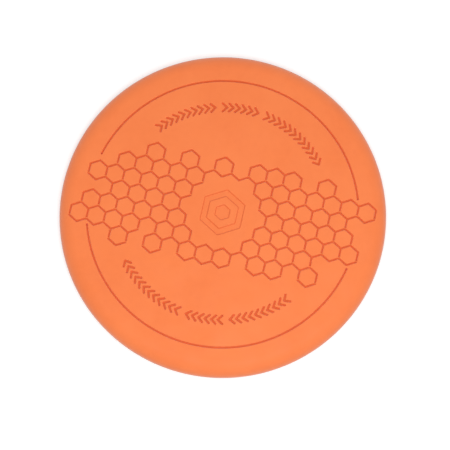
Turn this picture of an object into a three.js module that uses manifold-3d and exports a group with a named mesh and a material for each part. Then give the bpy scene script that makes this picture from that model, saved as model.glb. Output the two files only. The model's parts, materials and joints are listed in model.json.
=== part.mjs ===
// A twelve inch drum practice pad. A moulded rubber cap wraps a foam layer and a plywood board.
// A non-slip mat is glued under the board, around a threaded insert that takes a stand's rod.
// Units are millimetres and degrees. The origin is the centre of the rest face, and +Z is up.
import * as THREE from 'three';
import { mergeVertices } from 'three/addons/utils/BufferGeometryUtils.js';
import Module from 'manifold-3d';

const wasm = await Module();
wasm.setup();

// Whole pad.
const padRadius = 152.4;
const padHeight = 22;
const glueGap = 0.1;
const fitGap = 0.3;
const roundSegments = 96;

// Rubber cap: a flat face, a soft shoulder down to the widest line, and a lip that grips the board.
const capThickness = 5;
const faceRadius = 0.905 * padRadius;
const shoulderDepth = 0.085 * padRadius;
const shoulderSteps = 8;
const undercutWidth = 5;
const undercutSteps = 4;
const lipHeight = 3;
const lipThickness = 1.9;
const lipRadius = 138;

// Engraving in the playing face.
const grooveWidth = 1.8;
const grooveDepth = 1.4;
const cutterHeadroom = 2;

// Honeycomb: a pointy-topped lattice turned about the centre. '#' is an engraved cell.
// Rows run from the far side to the near side, and each is half a cell further to the right.
const cellPitch = 0.1069 * padRadius;
const latticeTurn = -12.67;
const cellMap = [
  '......#.#.#.###.#..',
  '....#####...#######',
  '..######....#####..',
  '...####.....#####..',
  '.######....######..',
  '####.##...####.....',
  '..#.#.###.##.#.....',
];
const centreColumn = 9;
const centreRow = 3;

// Single edges that join up the cell groups, each between two empty cells given as [column, row].
const linkEdges = [
  [[9, 0], [9, 1]],
  [[11, 0], [10, 1]],
  [[11, 0], [11, 1]],
  [[9, 5], [9, 6]],
];

// Broken ring round the face.
const ringRadius = 0.8275 * padRadius;
const ringArcs = [[5.5, 153.5], [185, 335]];
const ringSteps = 32;

// Two curved rows of chevrons, half a turn apart, each in three groups that point clockwise.
const chevronRowRadius = 0.659 * padRadius;
const chevronHeight = 9.4;
const chevronReach = 4.2;
const chevronStroke = 2.4;
const chevronRowStart = 125.6;
const chevronPitch = 3.4;
const chevronGroupGap = 2.9;
const chevronGroups = [10, 6, 12];
const chevronRowTurns = [0, 180];

// Target mark at the centre: a shallow hexagonal channel round a shallow hexagonal dish.
const targetChannelFlats = { outer: 38, inner: 27 };
const targetDishFlats = 13;
const targetDepth = 1;

// Layers under the cap.
const foamThickness = 2.8;
const boardRadius = 143;
const boardThickness = 9;

// Base mat, with ring grooves for grip and a clear hole round the insert.
const matRadius = 137.5;
const matHoleRadius = 26;
const matEdge = 1.2;
const matGroove = { first: 46, spacing: 32, count: 3, width: 6, depth: 1.2 };

// Flanged insert with an M8 bore, modelled at the thread's minor diameter.
const flangeRadius = 23;
const flangeThickness = 2.5;
const barrelRadius = 7;
const barrelLength = 8.1;
const boreRadius = 3.32;
const boreLeadIn = 0.8;
const insertSegments = 36;

// Four countersunk wood screws that hold the insert.
const screwCircle = 16;
const screwAngles = [45, 135, 225, 315];
const screwHeadRadius = 3.6;
const screwHeadEdge = 0.4;
const screwShankRadius = 1.6;
const screwLength = 10;
const screwTip = 2.4;
const screwRecess = { length: 3.8, width: 0.8, depth: 1.1 };
const screwSegments = 16;

// Heights of the layers, from the rest face up.
const widestHeight = padHeight - shoulderDepth;
const capCeiling = padHeight - capThickness;
const foamTop = capCeiling - glueGap;
const foamBottom = foamTop - foamThickness;
const boardTop = foamBottom - glueGap;
const boardBottom = boardTop - boardThickness;
const matTop = boardBottom - glueGap;
const flangeTop = boardBottom - glueGap;
const flangeBottom = flangeTop - flangeThickness;
const screwHeadFace = flangeBottom + glueGap;

const materials = {
  capRubber: new THREE.MeshStandardMaterial({ color: 0xf98a52, roughness: 0.62, metalness: 0 }),
  foam: new THREE.MeshStandardMaterial({ color: 0x3a3b3e, roughness: 0.9, metalness: 0 }),
  plywood: new THREE.MeshStandardMaterial({ color: 0xcfa873, roughness: 0.7, metalness: 0 }),
  matRubber: new THREE.MeshStandardMaterial({ color: 0x1d1e20, roughness: 0.8, metalness: 0 }),
  zincPlate: new THREE.MeshStandardMaterial({ color: 0xb9bcc0, roughness: 0.35, metalness: 1 }),
  screwSteel: new THREE.MeshStandardMaterial({ color: 0x8d8f93, roughness: 0.3, metalness: 1 }),
};

const point = (x, y) => new THREE.Vector2(x, y);
const radians = (degrees) => THREE.MathUtils.degToRad(degrees);
const polar = (radius, degrees) =>
  point(radius * Math.cos(radians(degrees)), radius * Math.sin(radians(degrees)));

// Points of an ellipse arc, both ends included.
function arc(centreX, centreY, radiusX, radiusY, from, to, steps) {
  const points = [];
  for (let step = 0; step <= steps; step += 1) {
    const angle = radians(from + ((to - from) * step) / steps);
    points.push(point(centreX + radiusX * Math.cos(angle), centreY + radiusY * Math.sin(angle)));
  }
  return points;
}

// A profile of (radius, height) points, turned about the Z axis.
function turned(profile, segments) {
  return new THREE.LatheGeometry(profile, segments).rotateX(Math.PI / 2);
}

// A solid that the manifold library can join and cut. Triangles that collapse on the axis are dropped.
function toSolid(geometry) {
  const bare = geometry.clone();
  bare.deleteAttribute('normal');
  bare.deleteAttribute('uv');
  const merged = mergeVertices(bare);
  const corners = merged.index.array;
  const kept = [];
  for (let start = 0; start < corners.length; start += 3) {
    const [a, b, c] = corners.slice(start, start + 3);
    if (a !== b && b !== c && c !== a) {
      kept.push(a, b, c);
    }
  }
  const vertProperties = new Float32Array(merged.attributes.position.array);
  const mesh = new wasm.Mesh({ numProp: 3, vertProperties, triVerts: new Uint32Array(kept) });
  return new wasm.Manifold(mesh);
}

function toGeometry(solid) {
  const mesh = solid.getMesh();
  const geometry = new THREE.BufferGeometry();
  geometry.setAttribute('position', new THREE.BufferAttribute(mesh.vertProperties, 3));
  geometry.setIndex(new THREE.BufferAttribute(mesh.triVerts, 1));
  geometry.computeVertexNormals();
  return geometry;
}

const joined = (solids) => solids.reduce((whole, solid) => whole.add(solid));

// An outline pushed down into the playing face by the given depth, as a cutter.
function faceCutter(outline, holes, depth) {
  const shape = new THREE.Shape(outline);
  for (const hole of holes) {
    shape.holes.push(new THREE.Path(hole));
  }
  const height = depth + cutterHeadroom;
  const geometry = new THREE.ExtrudeGeometry(shape, { depth: height, bevelEnabled: false });
  return toSolid(geometry.translate(0, 0, padHeight - depth));
}

// Centre of the lattice cell at a column and row of the map.
function cellCentre(column, row) {
  const across = column - centreColumn + (row - centreRow) / 2;
  const down = (row - centreRow) * Math.sin(radians(60));
  const centre = point(across * cellPitch, -down * cellPitch);
  return centre.rotateAround(point(0, 0), radians(latticeTurn));
}

// Corners of a pointy-topped hexagon in the lattice's direction, by its distance across flats.
function hexagon(centre, acrossFlats) {
  const corners = [];
  for (let side = 0; side < 6; side += 1) {
    const corner = polar(acrossFlats / Math.sqrt(3), latticeTurn + 30 + 60 * side);
    corners.push(corner.add(centre));
  }
  return corners;
}

// A groove along the outline of one honeycomb cell.
function cellCutter(centre) {
  const outer = hexagon(centre, cellPitch + grooveWidth);
  const inner = hexagon(centre, cellPitch - grooveWidth);
  return faceCutter(outer, [inner], grooveDepth);
}

// A straight groove along the edge that two neighbouring cells share.
function linkCutter([cellA, cellB]) {
  const centreA = cellCentre(...cellA);
  const centreB = cellCentre(...cellB);
  const middle = centreA.clone().add(centreB).multiplyScalar(0.5);
  const across = centreB.clone().sub(centreA).normalize().multiplyScalar(grooveWidth / 2);
  const halfEdge = cellPitch / Math.sqrt(3) / 2;
  const along = point(-across.y, across.x).normalize().multiplyScalar(halfEdge);
  const corners = [[-1, -1], [1, -1], [1, 1], [-1, 1]].map(([acrossSide, alongSide]) => {
    const corner = middle.clone().addScaledVector(across, acrossSide);
    return corner.addScaledVector(along, alongSide);
  });
  return faceCutter(corners, [], grooveDepth);
}

function honeycombCutter() {
  const cutters = linkEdges.map(linkCutter);
  cellMap.forEach((line, row) => {
    [...line].forEach((mark, column) => {
      if (mark === '#') {
        cutters.push(cellCutter(cellCentre(column, row)));
      }
    });
  });
  return joined(cutters);
}

// One arc of the broken ring, with half-round ends.
function ringCutter([from, to]) {
  const half = grooveWidth / 2;
  const end = polar(ringRadius, to);
  const start = polar(ringRadius, from);
  const outline = [
    ...arc(0, 0, ringRadius + half, ringRadius + half, from, to, ringSteps),
    ...arc(end.x, end.y, half, half, to, to + 180, 6).slice(1, -1),
    ...arc(0, 0, ringRadius - half, ringRadius - half, to, from, ringSteps),
    ...arc(start.x, start.y, half, half, from + 180, from + 360, 6).slice(1, -1),
  ];
  return faceCutter(outline, [], grooveDepth);
}

// A chevron on the row's circle, pointing clockwise.
function chevronCutter(angle) {
  const half = chevronHeight / 2;
  const back = -(chevronReach + chevronStroke) / 2;
  const local = [
    point(back, half),
    point(back + chevronStroke, half),
    point(back + chevronReach + chevronStroke, 0),
    point(back + chevronStroke, -half),
    point(back, -half),
    point(back + chevronReach, 0),
  ];
  const origin = point(0, 0);
  const outline = local.map(({ x, y }) => {
    const onRow = point(x, chevronRowRadius + y);
    return onRow.rotateAround(origin, radians(angle - 90));
  });
  return faceCutter(outline, [], grooveDepth);
}

function chevronCutters() {
  const cutters = [];
  for (const turn of chevronRowTurns) {
    let angle = chevronRowStart + turn;
    for (const count of chevronGroups) {
      for (let step = 0; step < count; step += 1) {
        cutters.push(chevronCutter(angle));
        angle -= chevronPitch;
      }
      angle -= chevronGroupGap;
    }
  }
  return joined(cutters);
}

function targetCutter() {
  const centre = point(0, 0);
  const { outer, inner } = targetChannelFlats;
  const channel = faceCutter(hexagon(centre, outer), [hexagon(centre, inner)], targetDepth);
  return channel.add(faceCutter(hexagon(centre, targetDishFlats), [], targetDepth));
}

// The cap's section runs out along its ceiling, down its wall, round the lip and back over the top.
function rubberCap() {
  const undercutTop = widestHeight - lipHeight;
  const undercutCentre = padRadius - undercutWidth;
  const profile = [
    point(0, capCeiling),
    point(boardRadius + fitGap, capCeiling),
    point(boardRadius + fitGap, lipHeight + lipThickness),
    point(lipRadius, lipHeight + lipThickness),
    point(lipRadius, lipHeight),
    ...arc(undercutCentre, widestHeight, undercutWidth, undercutTop, -90, 0, undercutSteps),
    ...arc(faceRadius, widestHeight, padRadius - faceRadius, shoulderDepth, 0, 90, shoulderSteps).slice(1),
    point(0, padHeight),
  ];
  const engraving = joined([
    honeycombCutter(),
    ...ringArcs.map(ringCutter),
    chevronCutters(),
    targetCutter(),
  ]);
  return toGeometry(toSolid(turned(profile, roundSegments)).subtract(engraving));
}

function foamDisc() {
  const profile = [
    point(0, foamBottom),
    point(boardRadius, foamBottom),
    point(boardRadius, foamTop),
    point(0, foamTop),
  ];
  return turned(profile, roundSegments);
}

// A ring-shaped section closes on its own first point.
const closed = (profile) => [...profile, profile[0].clone()];

// The same shape at every screw position.
function atScrews(geometry) {
  return screwAngles.map((angle) => {
    const place = polar(screwCircle, angle);
    return toSolid(geometry.clone().translate(place.x, place.y, 0));
  });
}

function coreBoard() {
  const holeRadius = barrelRadius + fitGap;
  const ring = turned(closed([
    point(holeRadius, boardBottom),
    point(boardRadius, boardBottom),
    point(boardRadius, boardTop),
    point(holeRadius, boardTop),
  ]), roundSegments);
  const pilotRadius = screwShankRadius + fitGap;
  const pilot = turned([
    point(0, flangeBottom),
    point(pilotRadius, flangeBottom),
    point(pilotRadius, flangeBottom + screwLength + fitGap),
    point(0, flangeBottom + screwLength + fitGap),
  ], screwSegments);
  return toGeometry(toSolid(ring).subtract(joined(atScrews(pilot))));
}

// The mat's underside steps up at each grip groove, and its outer edge is chamfered.
function baseMat() {
  const profile = [point(matHoleRadius, matTop), point(matHoleRadius, 0)];
  for (let index = 0; index < matGroove.count; index += 1) {
    const inner = matGroove.first + index * matGroove.spacing;
    const outer = inner + matGroove.width;
    profile.push(
      point(inner, 0),
      point(inner, matGroove.depth),
      point(outer, matGroove.depth),
      point(outer, 0),
    );
  }
  profile.push(point(matRadius - matEdge, 0), point(matRadius, matEdge), point(matRadius, matTop));
  return turned(closed(profile), roundSegments);
}

// Section of a screw from its head face up to its tip, grown by a clearance.
function screwProfile(clearance, length) {
  const headRadius = screwHeadRadius + clearance;
  const shankRadius = screwShankRadius + clearance;
  const coneStart = screwHeadFace + screwHeadEdge;
  const coneEnd = coneStart + screwHeadRadius - screwShankRadius;
  return [
    point(0, screwHeadFace),
    point(headRadius, screwHeadFace),
    point(headRadius, coneStart),
    point(shankRadius, coneEnd),
    point(shankRadius, screwHeadFace + length - screwTip),
    point(0, screwHeadFace + length),
  ];
}

function standInsert() {
  const body = turned(closed([
    point(boreRadius + boreLeadIn, flangeBottom),
    point(flangeRadius, flangeBottom),
    point(flangeRadius, flangeTop),
    point(barrelRadius, flangeTop),
    point(barrelRadius, flangeTop + barrelLength),
    point(boreRadius, flangeTop + barrelLength),
    point(boreRadius, flangeBottom + boreLeadIn),
  ]), insertSegments);
  const seat = screwProfile(fitGap, screwLength);
  seat[0].y = flangeBottom - fitGap;
  seat[1].y = flangeBottom - fitGap;
  return toGeometry(toSolid(body).subtract(joined(atScrews(turned(seat, screwSegments)))));
}

function woodScrew() {
  const body = toSolid(turned(screwProfile(0, screwLength), screwSegments));
  const { length, width, depth } = screwRecess;
  const slots = [[length, width], [width, length]].map(([sizeX, sizeY]) => {
    const slot = new THREE.BoxGeometry(sizeX, sizeY, 2 * depth);
    return toSolid(slot.translate(0, 0, screwHeadFace));
  });
  return toGeometry(body.subtract(joined(slots)));
}

function part(name, geometry, material) {
  const mesh = new THREE.Mesh(geometry, material);
  mesh.name = name;
  return mesh;
}

const pad = new THREE.Group();
pad.add(
  part('rubber_cap', rubberCap(), materials.capRubber),
  part('damping_foam', foamDisc(), materials.foam),
  part('core_board', coreBoard(), materials.plywood),
  part('base_mat', baseMat(), materials.matRubber),
  part('stand_insert', standInsert(), materials.zincPlate),
);

screwAngles.forEach((angle, index) => {
  const screw = part(`insert_screw_${index + 1}`, woodScrew(), materials.screwSteel);
  const place = polar(screwCircle, angle);
  screw.position.set(place.x, place.y, 0);
  screw.rotation.z = radians(angle);
  pad.add(screw);
});

export default pad;
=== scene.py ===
# Looks for the twelve inch drum practice pad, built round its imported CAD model.
# The pad's sizes are in millimetres and degrees, and its meshes are made from them in metres.
import json
import math

import bmesh
import bpy
import numpy as np
from mathutils import Matrix, Vector
from mathutils.geometry import delaunay_2d_cdt

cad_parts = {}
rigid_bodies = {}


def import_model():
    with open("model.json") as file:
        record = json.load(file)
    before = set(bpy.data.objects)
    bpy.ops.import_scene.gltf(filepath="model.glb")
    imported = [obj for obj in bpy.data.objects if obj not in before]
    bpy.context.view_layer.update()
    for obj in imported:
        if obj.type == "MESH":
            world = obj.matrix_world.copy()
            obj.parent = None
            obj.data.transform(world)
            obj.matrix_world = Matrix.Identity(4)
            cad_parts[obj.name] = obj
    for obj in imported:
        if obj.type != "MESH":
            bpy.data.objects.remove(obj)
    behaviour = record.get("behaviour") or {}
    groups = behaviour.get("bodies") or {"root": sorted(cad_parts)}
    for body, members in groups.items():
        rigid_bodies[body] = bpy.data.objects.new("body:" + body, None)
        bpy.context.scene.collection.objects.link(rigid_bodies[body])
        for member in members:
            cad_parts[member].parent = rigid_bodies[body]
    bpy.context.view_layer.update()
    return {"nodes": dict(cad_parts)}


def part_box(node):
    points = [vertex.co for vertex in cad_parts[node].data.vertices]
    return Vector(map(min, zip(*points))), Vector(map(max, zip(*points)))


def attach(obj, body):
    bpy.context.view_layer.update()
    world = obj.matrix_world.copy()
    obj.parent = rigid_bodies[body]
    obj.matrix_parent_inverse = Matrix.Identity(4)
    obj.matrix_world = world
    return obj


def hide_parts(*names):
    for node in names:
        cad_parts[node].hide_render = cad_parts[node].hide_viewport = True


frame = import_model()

MM = 0.001


def node_box(node):
    """Lowest and highest corner of a CAD node, in millimetres."""
    low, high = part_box(node)
    return low / MM, high / MM


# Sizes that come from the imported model.
CAP_LOW, CAP_HIGH = node_box("rubber_cap")
FOAM_LOW, FOAM_HIGH = node_box("damping_foam")
BOARD_LOW, BOARD_HIGH = node_box("core_board")
_, MAT_HIGH = node_box("base_mat")
INSERT_LOW, INSERT_HIGH = node_box("stand_insert")
SCREW_NODES = sorted(name for name in frame["nodes"] if name.startswith("insert_screw"))
PAD_RADIUS = CAP_HIGH.x
PAD_TOP = CAP_HIGH.z
FIT_GAP = 0.3

# Mesh making. Vertices closer than the merge distance become one, and cutters reach past what they cut.
ROUND_SEGMENTS = 360
LAYER_SEGMENTS = 180
MERGE_DISTANCE = 0.005
ON_AXIS = 1e-6
CUTTER_REACH = 1

# Rubber cap: a flat face, a shoulder down to the widest line, and a lip under the board's edge.
CAP_THICKNESS = 5
FACE_RADIUS = 0.905 * PAD_RADIUS
SHOULDER_DEPTH = 0.085 * PAD_RADIUS
WIDEST_HEIGHT = PAD_TOP - SHOULDER_DEPTH
UNDERCUT_WIDTH = 5
LIP_RADIUS = 138
LIP_THICKNESS = 1.9
CEILING = PAD_TOP - CAP_THICKNESS
CAVITY_RADIUS = BOARD_HIGH.x + FIT_GAP
CAVITY_FILLET = 1.5
LIP_ROUNDING = 0.6
LIP_LAND = 0.5
SHOULDER_STEPS = 12
UNDERCUT_START = 12
UNDERCUT_STEPS = 9

# Parting line: a thin flash round the widest line.
FLASH_REACH = 0.12
FLASH_HEIGHT = 0.6
FLASH_CREST = FLASH_HEIGHT / 4

# Layers under the cap.
FOAM_EDGE_HOLLOW = 0.5
FOAM_RIM_ROUNDING = 0.5
FOAM_WAIST_ROUNDING = 1.0
BARREL_RADIUS = 7
BOARD_HOLE_RADIUS = BARREL_RADIUS + FIT_GAP
BOARD_HOLE_EASE = 0.4
BOARD_RIM_EASE = 0.6
MAT_HOLE_RADIUS = 26
MAT_HOLE_ROUNDING = 0.4
MAT_TOP_ROUNDING = 0.3
MAT_EDGE = 1.2
MAT_EDGE_ROUNDING = 0.6
MAT_GROOVE_FIRST = 46
MAT_GROOVE_SPACING = 32
MAT_GROOVE_COUNT = 3
MAT_GROOVE_WIDTH = 6
MAT_GROOVE_DEPTH = 1.2
MAT_GROOVE_ROUNDING = 0.35
MAT_SEGMENTS = 256

# Flanged insert with an M8 thread.
FLANGE_THICKNESS = 2.5
FLANGE_TOP = INSERT_LOW.z + FLANGE_THICKNESS
FLANGE_LOWER_ROUNDING = 0.5
FLANGE_UPPER_ROUNDING = 0.4
BARREL_ROOT_FILLET = 0.3
BARREL_END_ROUNDING = 0.5
INSERT_SEGMENTS = 96
BORE_RADIUS = 3.32
BORE_LEAD_IN = 0.8
BORE_LEAD_IN_ROUNDING = 0.15
BORE_PITCH = 1.25
BORE_THREAD_DEPTH = 0.67
THREAD_RUN_OUT = 0.8

# In pitches: half the width of the bore thread's groove at its mouth, and the width of its flank.
BORE_GROOVE_MOUTH = 0.375
BORE_GROOVE_FLANK = 0.3125

# Four countersunk wood screws that hold the insert. Half the width of a thread's ridge is in pitches.
SCREW_CIRCLE = 16
SCREW_ANGLES = [45, 135, 225, 315]
SCREW_TURNS = [12, 67, 31, 84]
SCREW_SINK = 0.1
SCREW_FACE = INSERT_LOW.z + SCREW_SINK
SCREW_LENGTH = 10
SCREW_HEAD_RADIUS = 3.6
SCREW_HEAD_EDGE = 0.4
SCREW_FACE_ROUNDING = 0.18
SCREW_EDGE_ROUNDING = 0.1
SCREW_SHANK_RADIUS = 1.6
SCREW_CORE_RADIUS = 1.15
SCREW_PITCH = 1.5
SCREW_RIDGE_HALF = 0.22
SCREW_TIP = 2.4
SCREW_TOP = SCREW_FACE + SCREW_LENGTH
SCREW_SEGMENTS = 36
SEAT_CLEARANCE = 0.15
SEAT_BEVEL = 0.25
SEAT_BEVEL_LEAD = 0.01
SEAT_SEGMENTS = 48
PILOT_RADIUS = 1.9
PILOT_TOP = SCREW_TOP + 0.2
PILOT_MOUTH = 1.4
PILOT_MOUTH_DEPTH = 0.4
PILOT_SEGMENTS = 24
RECESS_LENGTH = 3.8
RECESS_WIDTH = 0.8
RECESS_DEPTH = 1.1
RECESS_TAPER = 0.62
RECESS_REACH = 0.3
THREAD_RINGS_PER_TURN = 12

# A ring closer than this to a plain turned surface belongs to it, and carries no thread.
THREAD_MARGIN = 0.01

# Engraving. A groove is at full depth up to its floor's edge, and ends at its lip.
GROOVE_DEPTH = 1.4
GROOVE_FLOOR = 0.42
GROOVE_LIP = 1.15
STROKE_FLOOR = 0.55
STROKE_LIP = 1.3
WALL_STEPS = 5
FLAT_BORDER = 0.3
ENGRAVED_RADIUS = 0.95 * PAD_RADIUS
SHOULDER_RINGS = 6
FACE_GRID = 5.0
FACE_TOLERANCE = 1e-4

# Honeycomb: a pointy-topped lattice turned about the centre. '#' is an engraved cell.
# Rows run from the far side to the near side, and each is half a cell further to the right.
# A link edge is a single groove between two cells that aren't engraved.
CELL_PITCH = 0.1069 * PAD_RADIUS
LATTICE_TURN = -12.67
CELL_MAP = [
    "......#.#.#.###.#..",
    "....#####...#######",
    "..######....#####..",
    "...####.....#####..",
    ".######....######..",
    "####.##...####.....",
    "..#.#.###.##.#.....",
]
CENTRE_CELL = (9, 3)
LINK_EDGES = [((9, 0), (9, 1)), ((11, 0), (10, 1)), ((11, 0), (11, 1)), ((9, 5), (9, 6))]
NEIGHBOURS = [(1, 0), (1, -1), (0, -1), (-1, 0), (-1, 1), (0, 1)]
CELL_SIDE = CELL_PITCH / math.sqrt(3)
CORNER_ROUNDING = 0.6
EDGE_STATIONS = 4

# Low bridges where a groove that runs up the lattice meets the corner at its near end.
# Each upright side of a cell has the direction along it in which its near end lies.
UPRIGHT_SIDES = {0: -1, 3: 1}
BRIDGE_SETBACK = 0.8
BRIDGE_REACH = 1.0
BRIDGE_RISE = 0.8
BRIDGE_STATIONS = np.linspace(0.2, 2.2, 6)

# Broken ring, two curved rows of chevrons, and the hexagonal target at the centre. A target outline
# is its width across flats, with 1 where the face sinks inside it and -1 where it rises again.
RING_RADIUS = 0.8275 * PAD_RADIUS
RING_ARCS = [(5.5, 153.5), (185, 335)]
CHEVRON_ROW_RADIUS = 0.659 * PAD_RADIUS
CHEVRON_HEIGHT = 9.4
CHEVRON_REACH = 4.2
CHEVRON_ROW_START = 125.6
CHEVRON_PITCH = 3.4
CHEVRON_GROUP_GAP = 2.9
CHEVRON_GROUPS = (10, 6, 12)
PIT_DEPTH = 0.7
# Painted shade in the pit at each end of the ring's arcs, as a share of a groove floor's.
PIT_PAINTED_SHADE = 0.5
PIT_FLOOR = 0.35
PIT_LIP = 0.85
TARGET_OUTLINES = [(38, 1), (27, -1), (13, 1)]
TARGET_DEPTH = 1.0
TARGET_WALL = 0.65
TARGET_ROUNDING = 1.2
# Painted shade on the target's walls, reaching a groove floor's half way down them.
TARGET_PAINTED_SHADE = 4.0


# ---------------------------------------------------------------- plane geometry

def polar(radius, degrees):
    """Points in the plane at a radius and an angle, either of which may be an array."""
    angle = np.radians(degrees)
    return np.stack(np.broadcast_arrays(radius * np.cos(angle), radius * np.sin(angle)), -1)


def turned(points, degrees):
    """Points of the plane turned about the origin."""
    cosine, sine = math.cos(math.radians(degrees)), math.sin(math.radians(degrees))
    points = np.asarray(points, float)
    return points @ np.array([[cosine, sine], [-sine, cosine]])


def arc(centre, radius, start, end, steps):
    """Points along a circle's arc, both ends included."""
    return np.asarray(centre) + polar(radius, np.linspace(start, end, steps + 1))


def smooth_step(value):
    """0 below 0, 1 above 1, and an even S-curve between them."""
    value = np.clip(value, 0, 1)
    return value * value * (3 - 2 * value)


def smooth_minimum(first, second, width):
    """The smaller of two distances, rounded off where they are within width of each other."""
    with np.errstate(invalid="ignore"):
        gap = np.abs(first - second)
    blend = np.clip(width - np.nan_to_num(gap, nan=width, posinf=width), 0, None)
    return np.minimum(first, second) - blend**2 / (4 * width)


def wall_levels(floor, lip):
    """Distances from a groove's centre line at which its surface bends."""
    return [*np.linspace(floor, lip, WALL_STEPS + 1), lip + FLAT_BORDER]


# ---------------------------------------------------------------- honeycomb

def lattice_centre(column, row):
    """Centre of a lattice cell before the lattice is turned, in cell pitches."""
    across = column - CENTRE_CELL[0] + (row - CENTRE_CELL[1]) / 2
    return np.stack([across, -(row - CENTRE_CELL[1]) * math.sin(math.radians(60))], -1)


def neighbour(cell, side):
    step = NEIGHBOURS[side % 6]
    return cell[0] + step[0], cell[1] + step[1]


FILLED = {
    (column, row)
    for row, line in enumerate(CELL_MAP)
    for column, mark in enumerate(line)
    if mark == "#"
}
LINKS = {frozenset(pair) for pair in LINK_EDGES}


def is_groove(cell, side):
    """Whether a groove runs along this side of the cell. Side k faces 60 k degrees in the lattice."""
    other = neighbour(cell, side)
    return cell in FILLED or other in FILLED or frozenset((cell, other)) in LINKS


MAP_MARGIN = 2
MAP_COLUMNS = len(CELL_MAP[0]) + 2 * MAP_MARGIN
MAP_ROWS = len(CELL_MAP) + 2 * MAP_MARGIN
CELLS = [
    (column, row)
    for row in range(-MAP_MARGIN, MAP_ROWS - MAP_MARGIN)
    for column in range(-MAP_MARGIN, MAP_COLUMNS - MAP_MARGIN)
]
GROOVE_TABLE = np.zeros((MAP_COLUMNS, MAP_ROWS, 6), bool)
for cell in CELLS:
    for side in range(6):
        GROOVE_TABLE[cell[0] + MAP_MARGIN, cell[1] + MAP_MARGIN, side] = is_groove(cell, side)


def nearest_cells(local):
    """Column and row of the lattice cell that holds each point, given in cell pitches."""
    row = CENTRE_CELL[1] - local[:, 1] / math.sin(math.radians(60))
    column = CENTRE_CELL[0] + local[:, 0] - (row - CENTRE_CELL[1]) / 2
    exact = np.stack([column, row, -column - row], -1)
    rounded = np.round(exact)
    error = np.abs(rounded - exact)
    worst = np.argmax(error, 1)
    for axis in (0, 1):
        others = rounded.sum(1) - rounded[:, axis]
        rounded[:, axis] = np.where(worst == axis, -others, rounded[:, axis])
    return rounded[:, 0].astype(int), rounded[:, 1].astype(int)


def in_cell(points):
    """Each point's offset from the centre of its lattice cell, and which sides of the cell are grooves."""
    local = turned(points, -LATTICE_TURN) / CELL_PITCH
    column, row = nearest_cells(local)
    offset = (local - lattice_centre(column, row)) * CELL_PITCH
    on_map_column = np.clip(column + MAP_MARGIN, 0, MAP_COLUMNS - 1)
    on_map_row = np.clip(row + MAP_MARGIN, 0, MAP_ROWS - 1)
    return offset, GROOVE_TABLE[on_map_column, on_map_row]


def honeycomb_distance(points):
    """Distance to the nearest honeycomb groove's centre line, with the cells' corners rounded."""
    offset, flags = in_cell(points)
    nearest = np.full(len(points), np.inf)
    for side in range(6):
        normal = polar(1.0, 60 * side)
        along = polar(1.0, 60 * side + 90)
        across = CELL_PITCH / 2 - offset @ normal
        past_end = np.clip(np.abs(offset @ along) - CELL_SIDE / 2, 0, None)
        distance = np.where(flags[:, side], np.hypot(across, past_end), np.inf)
        nearest = smooth_minimum(nearest, distance, CORNER_ROUNDING)
    return nearest


def bridge_share(points):
    """How far each point is filled in by the low bridge just before an upright groove's near end."""
    offset, flags = in_cell(points)
    from_bridge = np.abs(offset[:, 1] + CELL_SIDE / 2 - BRIDGE_SETBACK)
    share = smooth_step(1 - from_bridge / BRIDGE_REACH)
    side = np.where(offset[:, 0] > 0, 0, 3)
    across = CELL_PITCH / 2 - np.abs(offset[:, 0])
    share *= smooth_step((GROOVE_LIP + FLAT_BORDER - across) / FLAT_BORDER)
    return BRIDGE_RISE * share * flags[np.arange(len(points)), side]


def cell_side_line(cell, side, inset):
    """Points along one side of a cell, moved in by inset, with the corners that belong to it."""
    normal_angle = 60 * side
    centre = lattice_centre(*cell) * CELL_PITCH
    ends = {}
    for turn in (-1, 1):
        mitred = is_groove(cell, side + turn)
        shortening = inset * math.tan(math.radians(30)) if mitred else 0
        fillet = CORNER_ROUNDING / math.sin(math.radians(60)) if mitred and inset else 0
        ends[turn] = (CELL_SIDE / 2 - shortening - fillet, mitred)
    stations = np.linspace(-ends[-1][0], ends[1][0], EDGE_STATIONS + 1)
    if side in UPRIGHT_SIDES:
        near_end = UPRIGHT_SIDES[side] * (CELL_SIDE / 2 - BRIDGE_STATIONS)
        kept = near_end[(near_end > stations[0]) & (near_end < stations[-1])]
        stations = np.unique(np.round([*stations, *kept], 6))
    base = centre + polar(CELL_PITCH / 2 - inset, normal_angle)
    line = list(base + stations[:, None] * polar(1.0, normal_angle + 90))
    for turn in (-1, 1):
        if ends[turn][1] or not inset:
            continue
        corner = centre + polar(CELL_SIDE, normal_angle + 30 * turn)
        inward = normal_angle + 180
        rounding = list(arc(corner, inset, inward, inward - 30 * turn, steps=3)[1:])
        line = line + rounding if turn == 1 else rounding[::-1] + line
    return line


def cell_corner_line(cell, side, inset):
    """The rounded corner between a groove side and the next one round the cell."""
    fillet = CORNER_ROUNDING / math.sin(math.radians(60))
    radius = fillet / math.tan(math.radians(30))
    centre = lattice_centre(*cell) * CELL_PITCH
    angle = 60 * side + 30
    reach = (CELL_PITCH / 2 - inset - radius) / math.cos(math.radians(30))
    middle = centre + polar(reach, angle)
    return list(arc(middle, radius, angle - 30, angle + 30, steps=4))


def honeycomb_lines():
    """Lines along the honeycomb's grooves at every level of their walls, in the turned lattice."""
    lines = []
    for cell in CELLS:
        for side in range(6):
            if not is_groove(cell, side):
                continue
            if side < 3:
                lines.append(cell_side_line(cell, side, 0))
            for inset in wall_levels(GROOVE_FLOOR, GROOVE_LIP):
                lines.append(cell_side_line(cell, side, inset))
                if is_groove(cell, side + 1):
                    lines.append(cell_corner_line(cell, side, inset))
    return [turned(line, LATTICE_TURN) for line in lines]


# ---------------------------------------------------------------- ring, chevrons and target

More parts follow.
